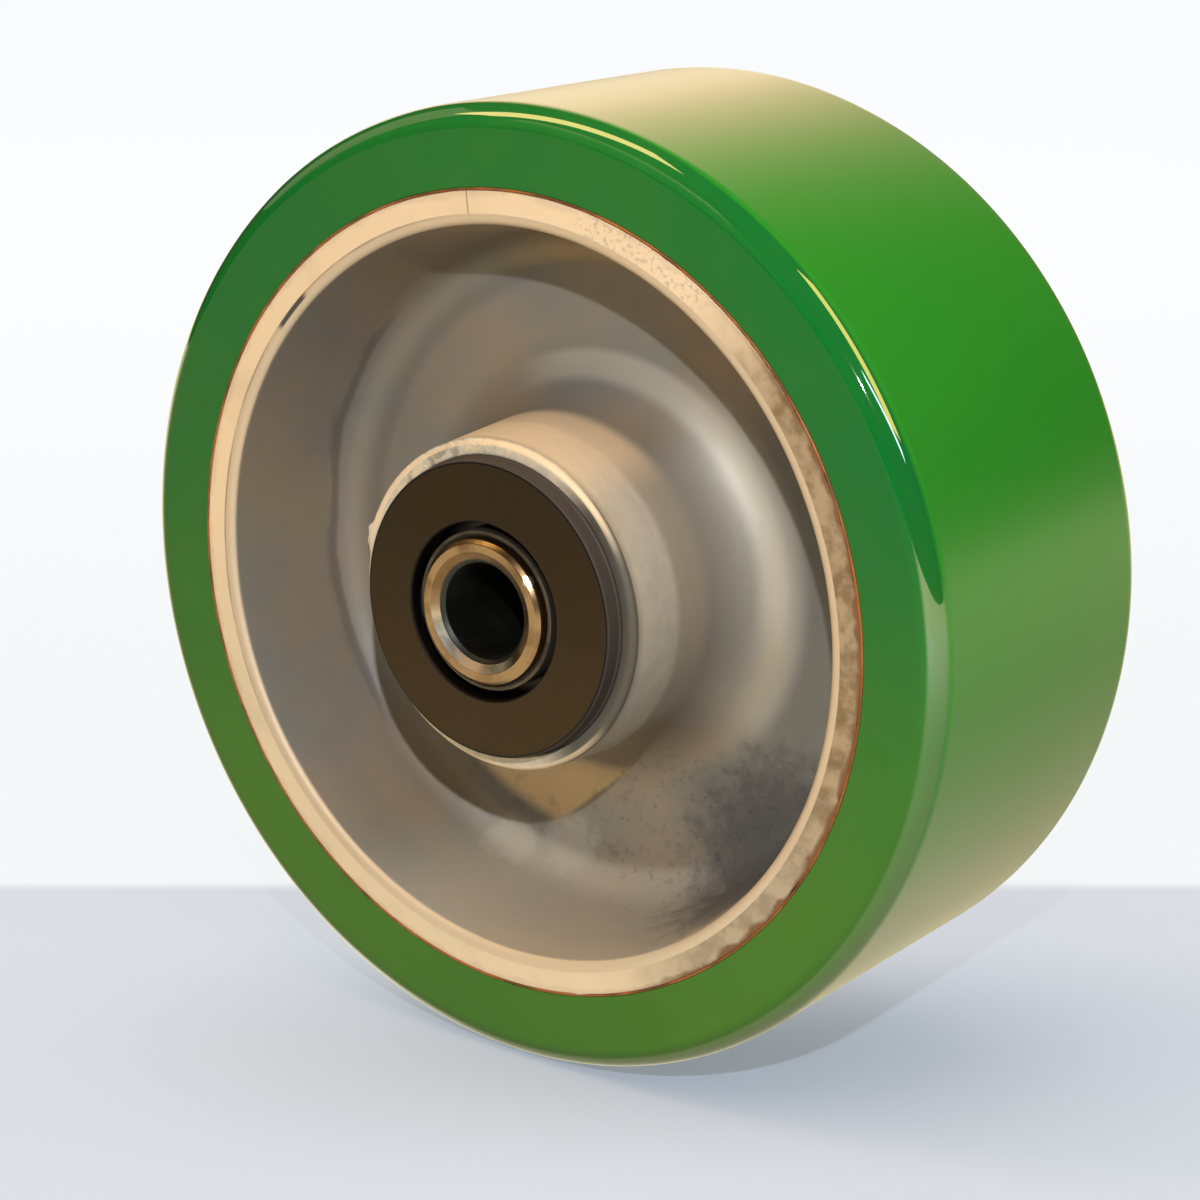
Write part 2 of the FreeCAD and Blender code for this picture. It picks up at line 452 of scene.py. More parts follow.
@dataclass(frozen=True)
class Polyurethane(Finish):
    """Moulded green polyurethane with glossy sides and a softer rolling surface that carries a
    painted sheen.
    """

    name: str = "polyurethane"
    deep: Colour = (0.001, 0.168, 0.028)
    lit_leaf: Colour = (0.084, 0.250, 0.022)
    amber: Colour = (0.075, 0.135, 0.008)
    rolling: Colour = (0.026, 0.280, 0.022)
    sheen_cream: Colour = (0.86, 0.76, 0.52)
    rolling_radii: tuple[float, float] = (99.5, 99.9)
    glossy_radii: tuple[float, float] = (96.6, 97.4)
    sheen_free_sector: Span = (74.0, 22.0, 50.0)
    matt_sector: Span = (140.0, 42.0, 24.0)
    side_coat: float = 2.8
    rolling_coat: float = 1.5
    lit_bottom_heights: tuple[float, float] = (60.0, -80.0)
    grazing: tuple[float, float] = (0.47, 0.84)
    sheen_share: float = 0.92
    sheen_cleared: float = 0.79

    def inputs(self, sheet: FinishSheet) -> dict[str, object]:
        """Greens painted lighter and yellower towards the bottom, a painted cream sheen at a
        grazing view and a glossy shoulder.

        Args:
            sheet: Sheet of the material.

        Returns:
            Inputs of the surface shader.
        """
        rolling = sheet.step("Radius", *self.rolling_radii)
        cloud = sheet.times(sheet.mottle(13.0, 0.32, 0.68, 1.0), 0.24)
        side = sheet.paint(
            self.deep,
            # Painted light: a lighter, yellower green towards the bottom of the side.
            (self.lit_leaf, sheet.scaled(sheet.lowness(*self.lit_bottom_heights), 0.75, cloud)),
            (self.amber, 0.45, sheet.mottle(34.0, 0.56, 0.78, 4.0)))
        facing = sheet.add("ShaderNodeLayerWeight", {"Blend": 0.5}).outputs["Facing"]
        # Painted sheen: the rolling surface turns cream at a grazing view, less so in a sector on
        # the right.
        sheened = sheet.paint(self.rolling, (
            self.sheen_cream, sheet.ramp(facing, *self.grazing),
            sheet.scaled(sheet.sector(*self.sheen_free_sector), -self.sheen_cleared, self.sheen_share)))
        glossy = sheet.times(sheet.step("Radius", *self.glossy_radii),
                             sheet.scaled(sheet.sector(*self.matt_sector), -0.8, 1.0))
        rough = sheet.scaled(sheet.grain(35.0), 0.04, 0.01)
        return {
            "Base_Color": sheet.blend(rolling, side, sheened),
            "Roughness": sheet.scaled(rolling, 0.30, rough),
            "Normal": sheet.bump(sheet.grain(45.0, 2.0), 0.12,
                                 sheet.bump(sheet.grain(900.0, 3.0), 0.006)),
            "IOR": 1.5, "Specular_IOR_Level": 0.15, "Coat_Weight": sheet.times(glossy, 0.9),
            "Coat_Roughness": sheet.scaled(rolling, 0.27, 0.03),
            "Coat_IOR": sheet.scaled(rolling, self.rolling_coat - self.side_coat, self.side_coat)}


@dataclass(frozen=True)
class BondingAgent(Finish):
    """Amber-brown bonding agent at the joint of rim and tread."""

    name: str = "bonding_agent"
    amber: Colour = (0.42, 0.13, 0.025)
    brown: Colour = (0.14, 0.045, 0.012)

    def inputs(self, sheet: FinishSheet) -> dict[str, object]:
        """Amber with brown patches.

        Args:
            sheet: Sheet of the material.

        Returns:
            Inputs of the surface shader.
        """
        patch = sheet.mottle(90.0, 0.4, 0.62, 2.0)
        return {"Base_Color": sheet.blend(patch, self.amber, self.brown),
                "Roughness": sheet.scaled(patch, 0.2, 0.4),
                "Normal": sheet.bump(sheet.grain(1200.0), 0.05)}


@dataclass(frozen=True)
class CastAluminium(Finish):
    """Cast aluminium, grey and cloudy in the dish and bright where it was machined."""

    name: str = "cast_aluminium"
    warm: Colour = (0.345, 0.278, 0.215)
    cool: Colour = (0.245, 0.245, 0.24)
    shade_slate: Colour = (0.14, 0.15, 0.165)
    aged: Colour = (0.24, 0.155, 0.08)
    end_shade: Colour = (0.075, 0.068, 0.060)
    light: Colour = (0.66, 0.60, 0.52)
    bright: Colour = (0.97, 0.75, 0.54)
    tan: Colour = (0.40, 0.26, 0.12)
    shadow_fill_ochre: Colour = (0.86, 0.64, 0.38)
    rust: Colour = (0.20, 0.085, 0.03)
    soot_and_shade: Colour = (0.045, 0.047, 0.055)
    face_place: float = RIM_HALF
    face_inner: float = 78.4
    lip_inner: float = 76.1
    boss_face: float = BOSS_HALF
    boss_end: float = BOSS_RADIUS
    shadow_side: Point = (0.635, 0.0, -0.772)
    shadow_edge: tuple[float, float] = (38.6, 37.2)
    front_web: Span = (-9.5, -6.0, 4.0)
    sooty_place: Point = (73.0, 140.0, -13.0)
    sooty_reach: float = 30.0
    stained_sector: Span = (98.0, 42.0, 24.0)
    rust_sector: Span = (100.0, 42.0, 18.0)
    rust_radii: tuple[float, float] = (83.6, 84.6)
    groove_sector: Span = (-65.0, 42.0, 16.0)
    slit_sector: Span = (-47.0, 2.8, 1.8)
    chipped_sector: Span = (-26.0, 24.0, 10.0)
    line_turn: float = -7.0
    line_width: float = 0.28

    def cast_colour(self, sheet: FinishSheet) -> Socket:
        """Colour of the rough casting: cloudy grey with stains, light patches and soot, with
        painted shadow, shade and highlights on the dish and the boss.

        Args:
            sheet: Sheet of the material.

        Returns:
            The colour's socket.
        """
        start, end = self.shadow_edge
        shadow = sheet.times(sheet.ramp(sheet.measure(self.shadow_side), start * MM, end * MM),
                             sheet.band(sheet.place["Place"], *self.front_web))
        streaks = sheet.noise(sheet.add("ShaderNodeCombineXYZ", {
            0: sheet.times(sheet.place["Turn"], 0.030),
            1: sheet.place["Depth"]}).outputs[0], 260.0)
        wander = sheet.times(sheet.grain(60.0), 1.6 * MM)
        line = sheet.band(sheet.math("ADD", sheet.place["Radius"], wander), 72.6, 72.9, 0.5)
        sooty = sheet.spot(wheel_point(*self.sooty_place), self.sooty_reach, 0.9)
        return sheet.paint(
            self.warm,
            (self.cool, sheet.mottle(20.0, 0.36, 0.66, 3.0)),
            (self.tan, 0.14, sheet.mottle(95.0, 0.42, 0.75, 5.0)),
            # Painted shade: darker slate over the fillet on the left.
            (self.shade_slate, 0.35, sheet.zone((-95.0, 70.0, 18.0), (63.0, 70.5, 2.5))),
            # Painted shade: darker slate on the boss's root on the right.
            (self.shade_slate, 0.55, sheet.zone((72.0, 24.0, 30.0), (33.0, 41.0, 3.0)),
             sheet.depths(11.0, 19.0, 5.0)),
            # Painted highlight: a light arc on the boss's root fillet.
            (self.light, 0.50, sheet.zone((38.0, 48.0, 25.0), (42.0, 45.0, 2.6))),
            # Painted light: warm ochre fills the boss's cast shadow on the front web.
            (self.shadow_fill_ochre, 0.80, sheet.zone((-170.0, 36.0, 20.0), (46.0, 58.5, 4.0)), shadow),
            # Painted light: a lighter lower wall of the dish.
            (self.light, 0.45, sheet.zone((166.0, 26.0, 26.0), (68.0, 78.0, 3.0))),
            # Painted shade: darker slate on the right of the web.
            (self.shade_slate, 0.70, sheet.zone((102.0, 44.0, 22.0), (50.0, 70.0, 7.0))),
            # Painted highlight: a lighter flare of the boss on the right.
            (self.light, 0.35, sheet.zone((84.0, 34.0, 26.0), (35.0, 47.0, 5.0))),
            # Painted shadow: tan in the rim's shadow at the upper right of the dish.
            (self.tan, 0.55, sheet.zone((46.0, 56.0, 20.0), (66.0, 77.0, 3.0))),
            # Painted light on the lit side of the boss near its end, streaked like the casting's
            # surface.
            (self.light, sheet.zone((48.0, 85.0, 25.0), (30.0, 36.6, 0.8)),
             sheet.depths(32.0, 41.0, 2.5),
             sheet.scaled(sheet.ramp(streaks, 0.35, 0.65), 0.25, 0.70)),
            # Painted light: a brighter top of the boss.
            (self.bright, 0.7, sheet.zone((2.0, 24.0, 22.0), (30.0, 37.5, 0.8)),
             sheet.depths(24.0, 41.0, 5.0)),
            (self.light, 0.32, sheet.spot(wheel_point(71.0, -160.0, -8.5), 8.0, 1.3)),
            (self.light, 0.32, sheet.spot(wheel_point(64.0, -172.0, -8.5), 8.5, 1.3)),
            # Painted shade: a dark line where the rim's wall meets the fillet on the left.
            (self.soot_and_shade, 0.42, line, sheet.sector(-88.0, 32.0, 14.0)),
            (self.soot_and_shade, 0.60, sooty),
            (self.soot_and_shade, 0.30, sheet.spot(wheel_point(60.0, 158.0, -7.0), 32.0, 0.6),
             sheet.mottle(520.0, 0.54, 0.68, 13.0)),
            (self.soot_and_shade, 0.35, sheet.mottle(950.0, 0.52, 0.66, 17.0), sooty),
            (self.soot_and_shade, 0.30, sheet.mottle(150.0, 0.55, 0.70, 19.0),
             sheet.zone((-172.0, 30.0, 10.0), (44.0, 66.0, 4.0))))

    def face_colour(self, sheet: FinishSheet, rust: Socket) -> Socket:
        """Colour of the machined faces, worn, specked and stained at the outer edge.

        Args:
            sheet: Sheet of the material.
            rust: Mask of the stained edge.

        Returns:
            The colour's socket.
        """
        side = sheet.sector(*self.stained_sector)
        return sheet.paint(
            self.bright,
            (self.warm, 0.20, sheet.mottle(60.0, 0.45, 0.72, 8.0)),
            (self.aged, side, sheet.scaled(sheet.mottle(240.0, 0.40, 0.66, 21.0), 0.30, 0.70)),
            (self.light, 0.3, sheet.sector(190.0, 60.0, 30.0)),
            (self.cool, 0.45, sheet.mottle(900.0, 0.50, 0.64, 23.0),
             sheet.sector(24.0, 8.0, 6.0)),
            (self.soot_and_shade, 0.7, sheet.mottle(380.0, 0.66, 0.72, 25.0), side),
            (self.rust, 0.6, sheet.scratch(self.line_turn, self.line_width),
             sheet.step("Radius", 70.0, 71.0)),
            (self.rust, rust))

    def boss_colour(self, sheet: FinishSheet, cast: Socket, end: Socket,
                    crumbs: Socket) -> Socket:
        """Colour of the casting with the boss's end face laid over it, painted shade on the end
        face's right side and a painted highlight on its lit edge.

        Args:
            sheet: Sheet of the material.
            cast: Colour of the rough casting.
            end: Mask of the end face.
            crumbs: Crumbly variation of the end face.

        Returns:
            The colour's socket.
        """
        tone = sheet.paint(
            self.light, (self.bright, 0.5, crumbs),
            # Painted shade on the right of the end face, beside the cover.
            (self.end_shade, 0.95, sheet.sector(95.0, 46.0, 24.0)),
            (self.soot_and_shade, 0.45, sheet.mottle(330.0, 0.50, 0.60, 29.0),
             sheet.sector(-26.0, 22.0, 8.0)))
        # Painted highlight along the edge of the end face where it faces the lamps.
        lit = sheet.math("MAXIMUM", sheet.sector(-10.0, 48.0, 30.0),
                         sheet.times(sheet.sector(172.0, 26.0, 22.0), 0.8))
        edge = sheet.ring(self.boss_end - 0.9, self.boss_end - 0.2, 0.3)
        return sheet.paint(cast, (tone, end), (self.bright, 0.8, lit, end, edge))

    def inputs(self, sheet: FinishSheet) -> dict[str, object]:
        """Rough casting, machined faces, the groove between them and a short open slit.

        Args:
            sheet: Sheet of the material.

        Returns:
            Inputs of the surface shader.
        """
        inner, face, radius = self.face_inner, self.face_place, sheet.place["Radius"]
        rim_face = sheet.times(sheet.step("Radius", inner - 0.15, inner + 0.05),
                               sheet.step("Depth", face - 1.6, face - 0.9))
        lip = sheet.times(sheet.step("Radius", self.lip_inner - 0.1, self.lip_inner + 0.15),
                          sheet.step("Depth", face - 2.4, face - 1.4))
        end = sheet.step("Depth", self.boss_face - 1.6, self.boss_face - 1.2)
        crumbs = sheet.mottle(620.0, 0.40, 0.62, 27.0)
        wander = sheet.times(sheet.grain(170.0), 4.0 * MM)
        start, full = self.rust_radii
        stained = sheet.ramp(sheet.math("ADD", wander, radius), start * MM, full * MM)
        rust = sheet.times(stained, rim_face,
                           sheet.scaled(sheet.sector(*self.rust_sector), 0.80, 0.12))
        colour = sheet.paint(
            self.boss_colour(sheet, self.cast_colour(sheet), end, crumbs),
            (self.bright, 0.6, lip),
            (self.face_colour(sheet, rust), rim_face),
            (self.rust, sheet.ring(inner - 0.3, inner - 0.1, 0.2),
             sheet.step("Depth", face - 1.0, face - 0.5), sheet.sector(*self.groove_sector),
             sheet.scaled(sheet.mottle(70.0, 0.35, 0.6, 31.0), 0.4, 0.1)),
            (self.soot_and_shade, 0.95, sheet.ring(inner - 0.9, inner - 0.2, 0.3),
             sheet.sector(*self.slit_sector), sheet.step("Depth", face - 1.4, face - 0.8)))
        clean = sheet.math("SUBTRACT", 1.0, rim_face)
        normal = sheet.bump(sheet.grain(110.0, 3.0), 0.10)
        for height, mask, distance in (
                (sheet.grain(620.0, 5.0, 0.6), clean, 0.07),
                (crumbs, sheet.times(end, sheet.sector(*self.chipped_sector)), 0.10),
                (sheet.lathe_marks(radius), rim_face, 0.010)):
            normal = sheet.bump(sheet.times(height, mask), distance, normal)
        rough = sheet.scaled(sheet.grain(40.0), 0.20, 0.48)
        return {"Base_Color": colour, "Normal": normal,
                "Metallic": sheet.times(0.38, sheet.math("SUBTRACT", 1.0, rust)),
                "Roughness": sheet.math("SUBTRACT", rough, sheet.times(rim_face, 0.06))}


@dataclass(frozen=True)
class CoverPlastic(Finish):
    """Dark brown-black moulded plastic of the dust covers."""

    name: str = "cover_plastic"
    dark: Colour = (0.026, 0.015, 0.006)
    dusty_and_lit: Colour = (0.058, 0.034, 0.013)
    side: Colour = (0.062, 0.050, 0.046)
    shaded: Colour = (0.004, 0.004, 0.005)
    edge_radius: float = 30.25
    hole_radius: float = 18.6
    lighter_bottom_heights: tuple[float, float] = (20.0, -30.0)

    def inputs(self, sheet: FinishSheet) -> dict[str, object]:
        """Face painted lighter towards the bottom and dusty, paler side, and shade at the edge and
        in the hole.

        Args:
            sheet: Sheet of the material.

        Returns:
            Inputs of the surface shader.
        """
        dust = sheet.mottle(45.0, 0.35, 0.75, 6.0)
        edge, hole = self.edge_radius, self.hole_radius
        colour = sheet.paint(
            self.dark,
            # Painted light: the face lighter towards the bottom, with dust over it.
            (self.dusty_and_lit, sheet.scaled(sheet.lowness(*self.lighter_bottom_heights), 0.8,
                                      sheet.times(dust, 0.2))),
            (self.side, sheet.step("Radius", edge - 0.1, edge + 0.2)),
            (self.shaded, sheet.ring(edge - 0.25, edge, 0.1)),
            (BLACK, 0.95, sheet.step("Radius", hole + 0.3, hole)))
        marks = sheet.lathe_marks(sheet.place["Radius"], 1500.0)
        return {"Base_Color": colour, "Roughness": sheet.scaled(dust, 0.12, 0.50),
                "Normal": sheet.bump(marks, 0.01, sheet.bump(sheet.grain(1500.0, 2.0), 0.012)),
                "Specular_IOR_Level": 0.15}


@dataclass(frozen=True)
class TurnedSteel(Finish):
    """Turned or plated steel with fine lathe lines and light spotting."""

    clean: Colour
    spotted: Colour
    roughness: float
    spots: float
    shaded_bore: float = 0.0
    countersink: float = 0.0
    facet_glint: float = 0.0
    shaded_face_place: float = 0.0
    recess_shade: Colour = (0.002, 0.002, 0.001)
    countersink_shade: Colour = (0.10, 0.055, 0.028)
    shine: Colour = (0.95, 0.88, 0.78)
    countersink_shade_sector: Span = (30.0, 95.0, 45.0)
    shine_sector: Span = (200.0, 42.0, 30.0)
    glint_turn: float = 55.0
    glint_place: float = -49.3
    glint_reach: float = 1.5

    def inputs(self, sheet: FinishSheet) -> dict[str, object]:
        """Spotted steel, a countersink with painted shade on one side and a painted glint on the
        other, a painted glint near the end's edge, and painted shade in a bore or on a recessed
        face.

        Args:
            sheet: Sheet of the material.

        Returns:
            Inputs of the surface shader.
        """
        cloud = sheet.mottle(160.0, 0.42, 0.7, 7.0)
        cone = sheet.times(
            sheet.step("Radius", self.countersink + 0.05, self.countersink - 0.15),
            1.0 if self.countersink else 0.0)
        # Painted glint on the sleeve's end, where a flat would catch the light.
        facet_glint = wheel_point(self.facet_glint, self.glint_turn, self.glint_place)
        flat_glint = sheet.spot(facet_glint, self.glint_reach, 0.6) if self.facet_glint else 0.0
        # Painted shade: the bore, or the recessed face seen through the gap, made black and not
        # metallic.
        shaded_recess = sheet.step("Radius", self.shaded_bore + 0.05, self.shaded_bore - 0.05)
        if self.shaded_face_place:
            shaded_recess = sheet.step("Depth", self.shaded_face_place - 0.3, self.shaded_face_place - 0.1)
        colour = sheet.paint(
            self.clean, (self.spotted, self.spots, cloud),
            # Painted shade on the countersink's upper right and a painted glint on its lower left.
            (self.countersink_shade, 0.75, cone, sheet.sector(*self.countersink_shade_sector)),
            (self.shine, 0.8, cone, sheet.sector(*self.shine_sector)),
            (self.shine, flat_glint), (self.recess_shade, shaded_recess))
        along = sheet.math("ADD", sheet.place["Radius"], sheet.place["Place"])
        rough = sheet.scaled(cloud, 0.15, self.roughness)
        return {"Base_Color": colour, "Metallic": sheet.math("SUBTRACT", 1.0, shaded_recess),
                "Roughness": sheet.scaled(shaded_recess, 0.2, rough),
                "Normal": sheet.bump(sheet.lathe_marks(along, 3000.0), 0.008)}


@dataclass(frozen=True)
class SealRubber(Finish):
    """Matt black rubber of the bearing seals."""

    name: str = "seal_rubber"
    black: Colour = (0.012, 0.012, 0.013)
    grey: Colour = (0.030, 0.029, 0.028)

    def inputs(self, sheet: FinishSheet) -> dict[str, object]:
        """Black with grey dust.

        Args:
            sheet: Sheet of the material.

        Returns:
            Inputs of the surface shader.
        """
        dust = sheet.mottle(300.0, 0.4, 0.7, 9.0)
        return {"Base_Color": sheet.blend(dust, self.black, self.grey),
                "Roughness": sheet.scaled(dust, 0.1, 0.6),
                "Normal": sheet.bump(sheet.grain(2000.0), 0.01)}


@dataclass(frozen=True)
class StudioPaper(Finish):
    """Pale studio paper with a painted glow behind the wheel that hides its shadow there, and that
    throws little light back on the wheel.
    """

    name: str = "studio_paper"
    near: Colour = (0.33, 0.375, 0.49)
    back: Colour = (0.10, 0.11, 0.13)
    far: Colour = (0.05, 0.05, 0.05)
    near_glow: Colour = (0.325, 0.35, 0.40)
    back_glow: Colour = (0.61, 0.64, 0.69)
    middle_glow: Colour = (0.86, 0.90, 0.92)
    far_glow: Colour = (0.95, 0.96, 0.98)
    turn: float = VIEW_AZIMUTH
    line: float = -0.065
    soft: float = 0.004
    reach: float = 0.9
    thrown: float = 0.10
    shade: float = 0.22
    shade_middle: float = 0.010
    shade_reach: float = 0.140
    shade_front: tuple[float, float] = (0.095, 0.030)
    shade_back: tuple[float, float] = (-0.04, 0.02)
    wheel_width: tuple[float, float] = (0.035, -0.035)
    mirrored: Colour = (1.15, 1.02, 0.60)

    def inputs(self, sheet: FinishSheet) -> dict[str, object]:
        """Paper with a glow of its own that darkens towards the front, a painted shadow under the
        wheel, a painted glow behind it and a painted warm reflection for glossy rays.

        Args:
            sheet: Sheet of the material.

        Returns:
            Inputs of the surface shader.
        """
        angle = math.radians(self.turn)
        toward = sheet.measure((math.sin(angle), -math.cos(angle), 0.0))
        aside = sheet.measure((math.cos(angle), math.sin(angle), 0.0))
        behind = sheet.ramp(toward, self.line + self.soft, self.line - self.soft)
        beside = sheet.ramp(toward, *self.wheel_width)
        distance = sheet.ramp(toward, self.line, self.line - self.reach)
        away = sheet.math("ABSOLUTE", sheet.math("SUBTRACT", aside, self.shade_middle))
        # Painted shadow on the paper under the wheel's front.
        under = sheet.times(
            sheet.ramp(toward, *self.shade_front), sheet.ramp(away, self.shade_reach, 0.0),
            sheet.ramp(toward, *self.shade_back), self.shade)
        rays = sheet.add("ShaderNodeLightPath").outputs
        kept = sheet.scaled(rays["Is Diffuse Ray"], self.thrown - 1.0, 1.0)
        # Behind the wheel the paper takes little lamp light and glows instead: a painted glow that
        # hides the wheel's shadow.
        colour = sheet.paint(self.near, (self.back, beside), (self.far, behind))
        wall_glow = sheet.blend(distance, self.middle_glow, self.far_glow)
        # Glossy rays see a painted warm reflection instead of the paper's own glow.
        glow = sheet.paint(self.near_glow, (self.back_glow, beside), (wall_glow, behind),
                           (BLACK, under), (self.mirrored, rays["Is Glossy Ray"]))
        return {"Base_Color": sheet.paint(BLACK, (colour, kept), (BLACK, under)),
                "Roughness": 0.9, "Specular_IOR_Level": 0.0,
                "Emission_Color": glow, "Emission_Strength": kept}


@dataclass(frozen=True)
class Corner:
    """Corner of a turned outline, with the making of the stretch that follows it."""

    radius: float
    place: float
    rounding: float = 0.0
    skin: Skin = Skin.MACHINED
    step: float = 1.5

    def on(self, side: Side) -> "Corner":
        """This corner on one side of the wheel."""
        return replace(self, place=side.value * self.place)


class Outline:
    """Closed outline of a turned piece, with rounded corners and divided straights."""

    ARC_STEPS = 5
    GUARD = 0.25

    def __init__(self, corners: list[Corner]) -> None:
        """Keeps the corners, in order round the section."""
        self.corners = corners

    def rounded_corner(self, index: int) -> list[Vector]:
        """Points of one rounded corner.

        Args:
            index: Number of the corner.

        Returns:
            Its points, one only where it is sharp.
        """
        corner = self.corners[index]
        here = Vector((corner.radius, corner.place))
        if corner.rounding == 0:
            return [here]
        before, after = self.corners[index - 1], self.corners[(index + 1) % len(self.corners)]
        back = (Vector((before.radius, before.place)) - here).normalized()
        ahead = (Vector((after.radius, after.place)) - here).normalized()
        half = back.angle(ahead) / 2
        start = here + back * (corner.rounding / math.tan(half))
        centre = here + (back + ahead).normalized() * (corner.rounding / math.sin(half))
        sweep = (math.pi - 2 * half) * (1 if back.cross(ahead) > 0 else -1)
        steps = max(self.ARC_STEPS, round(abs(sweep) * corner.rounding / corner.step))
        arm = start - centre
        points = []
        for i in range(steps + 1):
            angle = -sweep * i / steps
            turned = Vector((arm.x * math.cos(angle) - arm.y * math.sin(angle),
                             arm.x * math.sin(angle) + arm.y * math.cos(angle)))
            points.append(centre + turned)
        return points

    def points(self) -> list[tuple[float, float, float]]:
        """Every point of the outline, the first one again at the end.

        Returns:
            Radius, place and share of unevenness of each point.
        """
        rounded = [self.rounded_corner(i) for i in range(len(self.corners))]
        made = []
        for i, corner in enumerate(self.corners):
            made += [(point, corner) for point in rounded[i]]
            start, end = rounded[i][-1], rounded[(i + 1) % len(rounded)][0]
            length = (end - start).length
            if length < 3 * self.GUARD:
                continue
            inner = length - 2 * self.GUARD
            parts = max(1, round(inner / corner.step))
            for k in range(parts + 1):
                along = (self.GUARD + inner * k / parts) / length
                made.append((start.lerp(end, along), corner))
        made.append(made[0])
        return [(point.x, point.y, corner.skin.value) for point, corner in made]


class TurnedForm:
    """Geometry Nodes tree that turns an outline round the axle and makes it uneven."""

    INPUTS = (
        ("Segments", "NodeSocketInt"), ("Unevenness", "NodeSocketFloat"),
        ("Waves", "NodeSocketFloat"), ("Seed", "NodeSocketFloat"),
        ("Finish", "NodeSocketMaterial"))
    ATTRIBUTE = "unevenness"
    MERGE = 1e-6

    def __init__(self) -> None:
        """Builds the tree."""
        self.tree = bpy.data.node_groups.new("turned_form", "GeometryNodeTree")
        face = self.tree.interface
        face.new_socket("Outline", in_out="INPUT", socket_type="NodeSocketGeometry")
        self.identifiers = {
            name: face.new_socket(name, in_out="INPUT", socket_type=kind).identifier
            for name, kind in self.INPUTS}
        face.new_socket("Form", in_out="OUTPUT", socket_type="NodeSocketGeometry")
        self.fill(NodeSheet(self.tree))

    def fill(self, sheet: NodeSheet) -> None:
        """Adds the nodes: a grid wrapped round the axle, then its unevenness and finish.

        Args:
            sheet: Sheet of the tree.
        """
        given = sheet.add("NodeGroupInput").outputs
        outline = given["Outline"]
        count = sheet.add("GeometryNodeAttributeDomainSize", {0: outline}).outputs["Point Count"]
        columns = sheet.math("ADD", given["Segments"], 1.0)
        grid = sheet.add("GeometryNodeMeshGrid", {"Vertices X": count, "Vertices Y": columns})
        index = sheet.add("GeometryNodeInputIndex").outputs[0]
        row = sheet.math("FLOOR", sheet.math("DIVIDE", sheet.math("ADD", index, 0.5), columns))
        column = sheet.math("SUBTRACT", index, sheet.times(row, columns))
        angle = sheet.times(sheet.math("DIVIDE", column, given["Segments"]), math.tau)
        position = sheet.add("GeometryNodeInputPosition").outputs[0]
        corner = sheet.add("GeometryNodeSampleIndex", {
            "Geometry": outline, "Value": position, "Index": row},
            data_type="FLOAT_VECTOR").outputs[0]
        parts = sheet.add("ShaderNodeSeparateXYZ", {0: corner}).outputs
        place = sheet.add("ShaderNodeCombineXYZ", {
            0: sheet.times(parts[0], sheet.math("SINE", angle)), 1: parts[1],
            2: sheet.times(parts[0], sheet.math("COSINE", angle))}).outputs[0]
        wrapped = sheet.add("GeometryNodeSetPosition", {
            "Geometry": grid.outputs["Mesh"], "Position": place}).outputs[0]
        named = sheet.add("GeometryNodeInputNamedAttribute", {"Name": self.ATTRIBUTE},
                          data_type="FLOAT").outputs["Attribute"]
        cast = sheet.add("GeometryNodeSampleIndex", {
            "Geometry": outline, "Value": named, "Index": row}, data_type="FLOAT").outputs[0]
        stored = sheet.add("GeometryNodeStoreNamedAttribute", {
            "Geometry": wrapped, "Name": self.ATTRIBUTE, "Value": cast},
            data_type="FLOAT").outputs[0]
        closed = sheet.add("GeometryNodeMergeByDistance", {
            "Geometry": stored, "Distance": self.MERGE}).outputs[0]
        wave = sheet.add("ShaderNodeTexNoise", {
            "Vector": position, "W": given["Seed"], "Scale": given["Waves"], "Detail": 2.0},
            noise_dimensions="4D").outputs[0]
        height = sheet.times(sheet.math("SUBTRACT", wave, 0.5),
                             sheet.times(given["Unevenness"], named))
        normal = sheet.add("GeometryNodeInputNormal").outputs[0]
        shift = sheet.add("ShaderNodeVectorMath", {0: normal, "Scale": height},
                          operation="SCALE").outputs[0]
        uneven = sheet.add("GeometryNodeSetPosition", {
            "Geometry": closed, "Offset": shift}).outputs[0]
        smooth = sheet.add("GeometryNodeSetShadeSmooth", {0: uneven}).outputs[0]
        real = sheet.add("GeometryNodeRealizeInstances", {0: smooth}).outputs[0]
        dressed = sheet.add("GeometryNodeSetMaterial", {
            "Geometry": real, "Material": given["Finish"]}).outputs[0]
        sheet.add("NodeGroupOutput", {"Form": dressed})

    def outline_mesh(self, name: str, outline: Outline) -> bpy.types.Mesh:
        """Chain of vertices that carries the outline.

        Args:
            name: Name of the mesh.
            outline: Outline of the piece.

        Returns:
            The mesh.
        """
        points = outline.points()
        mesh = bpy.data.meshes.new(name)
        mesh.from_pydata([(radius * MM, place * MM, 0.0) for radius, place, _ in points],
                         [(i, i + 1) for i in range(len(points) - 1)], [])
        uneven = mesh.attributes.new(self.ATTRIBUTE, "FLOAT", "POINT")
        uneven.data.foreach_set("value", [share for _, _, share in points])
        return mesh

